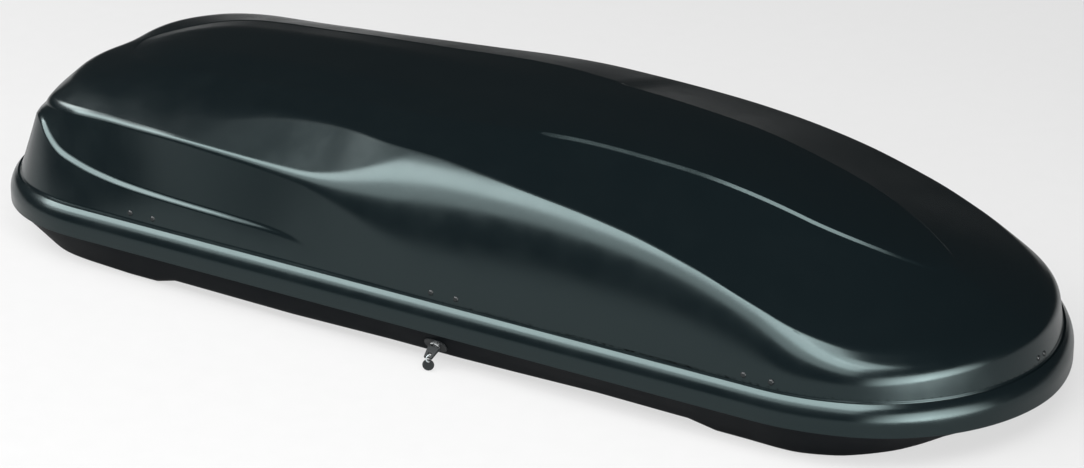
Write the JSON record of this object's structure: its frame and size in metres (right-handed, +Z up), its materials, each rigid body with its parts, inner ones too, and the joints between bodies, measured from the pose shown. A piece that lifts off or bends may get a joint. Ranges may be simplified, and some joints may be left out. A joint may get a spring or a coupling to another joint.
{
  "type": "roof cargo box",
  "caption": "Long wedge-nosed hard-shell roof cargo box with a side-hinged lid, gas struts, a keyed sliding-bar lock and bar clamps that hook under the roof bars.",
  "frame": {"origin": "middle of the box on the plane that the two bellies of the base stand on", "axes": "+X to the nose, the car's front; +Y to the car's left, the hinge side; +Z up"},
  "size_m": [1.938, 0.7226, 0.357],
  "materials": {
    "lid_abs": "satin black thermoformed ABS",
    "base_abs": "fine-grained black ABS",
    "nylon": "moulded black nylon",
    "black_rivet": "black-coated domed rivet",
    "link_plastic": "moulded grey plastic",
    "strut_black": "black-lacquered steel tube",
    "zinc_steel": "zinc-plated steel",
    "aluminium": "mill-finish aluminium strip",
    "chrome": "bright plated metal"
  },
  "bodies": {
    "base": {"base_shell": "base_abs", "floor_slot_plates": "zinc_steel", "clamp_housings": "nylon", "lock_escutcheon": "nylon", "lock_barrel": "chrome", "lock_nut": "zinc_steel", "bar_guides": "nylon", "base_hinge_leaves": "zinc_steel", "hinge_pins": "zinc_steel", "nose_guide": "nylon", "base_rivets": "black_rivet", "strut_base_brackets": "zinc_steel"},
    "lid": {"lid_shell": "lid_abs", "lid_edge_rails": "aluminium", "lid_cross_ribs": "base_abs", "strikers": "zinc_steel", "lid_hinge_leaves": "zinc_steel", "nose_tongue": "nylon", "lid_rivets": "black_rivet", "strut_lid_brackets": "zinc_steel"},
    "lock_cylinder": {"lock_plug": "chrome", "lock_cam": "zinc_steel"},
    "key": {"key_blade": "chrome", "key_bow": "nylon"},
    "key_tag": {"key_link": "link_plastic", "key_tag": "nylon"},
    "lock_bar": {"lock_bar": "zinc_steel"},
    "rear_strut_tube": {"rear_strut_cylinder": "strut_black"},
    "rear_strut_piston": {"rear_strut_rod": "chrome"},
    "front_strut_tube": {"front_strut_cylinder": "strut_black"},
    "front_strut_piston": {"front_strut_rod": "chrome"},
    "knob_front_left": {"clamp_knob_front_left": "nylon"},
    "hook_front_left": {"clamp_hook_front_left": "zinc_steel"},
    "knob_front_right": {"clamp_knob_front_right": "nylon"},
    "hook_front_right": {"clamp_hook_front_right": "zinc_steel"},
    "knob_rear_left": {"clamp_knob_rear_left": "nylon"},
    "hook_rear_left": {"clamp_hook_rear_left": "zinc_steel"},
    "knob_rear_right": {"clamp_knob_rear_right": "nylon"},
    "hook_rear_right": {"clamp_hook_rear_right": "zinc_steel"}
  },
  "joints": [
    {"name": "lid_hinge", "type": "hinge", "parent": "base", "child": "lid", "pos_m": [0, 0.353, 0.057], "axis": [-1, 0, 0], "range_deg": [0, 55]},
    {"name": "lock_turn", "type": "hinge", "parent": "base", "child": "lock_cylinder", "pos_m": [0.043, -0.3348, 0.0378], "axis": [0, 0.8563, 0.5165], "range_deg": [0, 90]},
    {"name": "key_pull", "type": "slide", "parent": "lock_cylinder", "child": "key", "axis": [0, -0.8563, -0.5165], "range_m": [0, 0.03]},
    {"name": "key_tag_swing", "type": "hinge", "parent": "key", "child": "key_tag", "pos_m": [0.043, -0.35749, 0.02411], "axis": [1, 0, 0], "range_deg": [-45, 45]},
    {"name": "lock_bar_slide", "type": "slide", "parent": "base", "child": "lock_bar", "axis": [1, 0, 0], "range_m": [0, 0.02546]},
    {"name": "rear_strut_swing", "type": "hinge", "parent": "base", "child": "rear_strut_tube", "pos_m": [-0.6, 0.265, 0.045], "axis": [-1, 0, 0], "range_deg": [0, 49.2]},
    {"name": "rear_strut_extend", "type": "slide", "parent": "rear_strut_tube", "child": "rear_strut_piston", "axis": [0, -0.2307, 0.973], "range_m": [0, 0.0786]},
    {"name": "front_strut_swing", "type": "hinge", "parent": "base", "child": "front_strut_tube", "pos_m": [0.33, 0.265, 0.045], "axis": [-1, 0, 0], "range_deg": [0, 49.2]},
    {"name": "front_strut_extend", "type": "slide", "parent": "front_strut_tube", "child": "front_strut_piston", "axis": [0, -0.2307, 0.973], "range_m": [0, 0.0786]},
    {"name": "knob_turn_front_left", "type": "hinge", "parent": "base", "child": "knob_front_left", "pos_m": [0.29, 0.215, 0.045], "axis": [0, 0, 1], "range_deg": [0, 1080]},
    {"name": "hook_lower_front_left", "type": "slide", "parent": "base", "child": "hook_front_left", "axis": [0, 0, -1], "range_m": [0, 0.036]},
    {"name": "knob_turn_front_right", "type": "hinge", "parent": "base", "child": "knob_front_right", "pos_m": [0.29, -0.215, 0.045], "axis": [0, 0, 1], "range_deg": [0, 1080]},
    {"name": "hook_lower_front_right", "type": "slide", "parent": "base", "child": "hook_front_right", "axis": [0, 0, -1], "range_m": [0, 0.036]},
    {"name": "knob_turn_rear_left", "type": "hinge", "parent": "base", "child": "knob_rear_left", "pos_m": [-0.29, 0.215, 0.045], "axis": [0, 0, 1], "range_deg": [0, 1080]},
    {"name": "hook_lower_rear_left", "type": "slide", "parent": "base", "child": "hook_rear_left", "axis": [0, 0, -1], "range_m": [0, 0.036]},
    {"name": "knob_turn_rear_right", "type": "hinge", "parent": "base", "child": "knob_rear_right", "pos_m": [-0.29, -0.215, 0.045], "axis": [0, 0, 1], "range_deg": [0, 1080]},
    {"name": "hook_lower_rear_right", "type": "slide", "parent": "base", "child": "hook_rear_right", "axis": [0, 0, -1], "range_m": [0, 0.036]}
  ],
  "couplings": [
    {"joint": "lock_turn", "follows": "lock_bar_slide", "rad_per_m": 61.71},
    {"joint": "rear_strut_swing", "follows": "lid_hinge", "ratio": 0.8927},
    {"joint": "rear_strut_extend", "follows": "lid_hinge", "m_per_rad": 0.08172},
    {"joint": "front_strut_swing", "follows": "lid_hinge", "ratio": 0.8927},
    {"joint": "front_strut_extend", "follows": "lid_hinge", "m_per_rad": 0.08172},
    {"joint": "knob_turn_front_left", "follows": "hook_lower_front_left", "rad_per_m": 523.6},
    {"joint": "knob_turn_front_right", "follows": "hook_lower_front_right", "rad_per_m": 523.6},
    {"joint": "knob_turn_rear_left", "follows": "hook_lower_rear_left", "rad_per_m": 523.6},
    {"joint": "knob_turn_rear_right", "follows": "hook_lower_rear_right", "rad_per_m": 523.6}
  ]
}
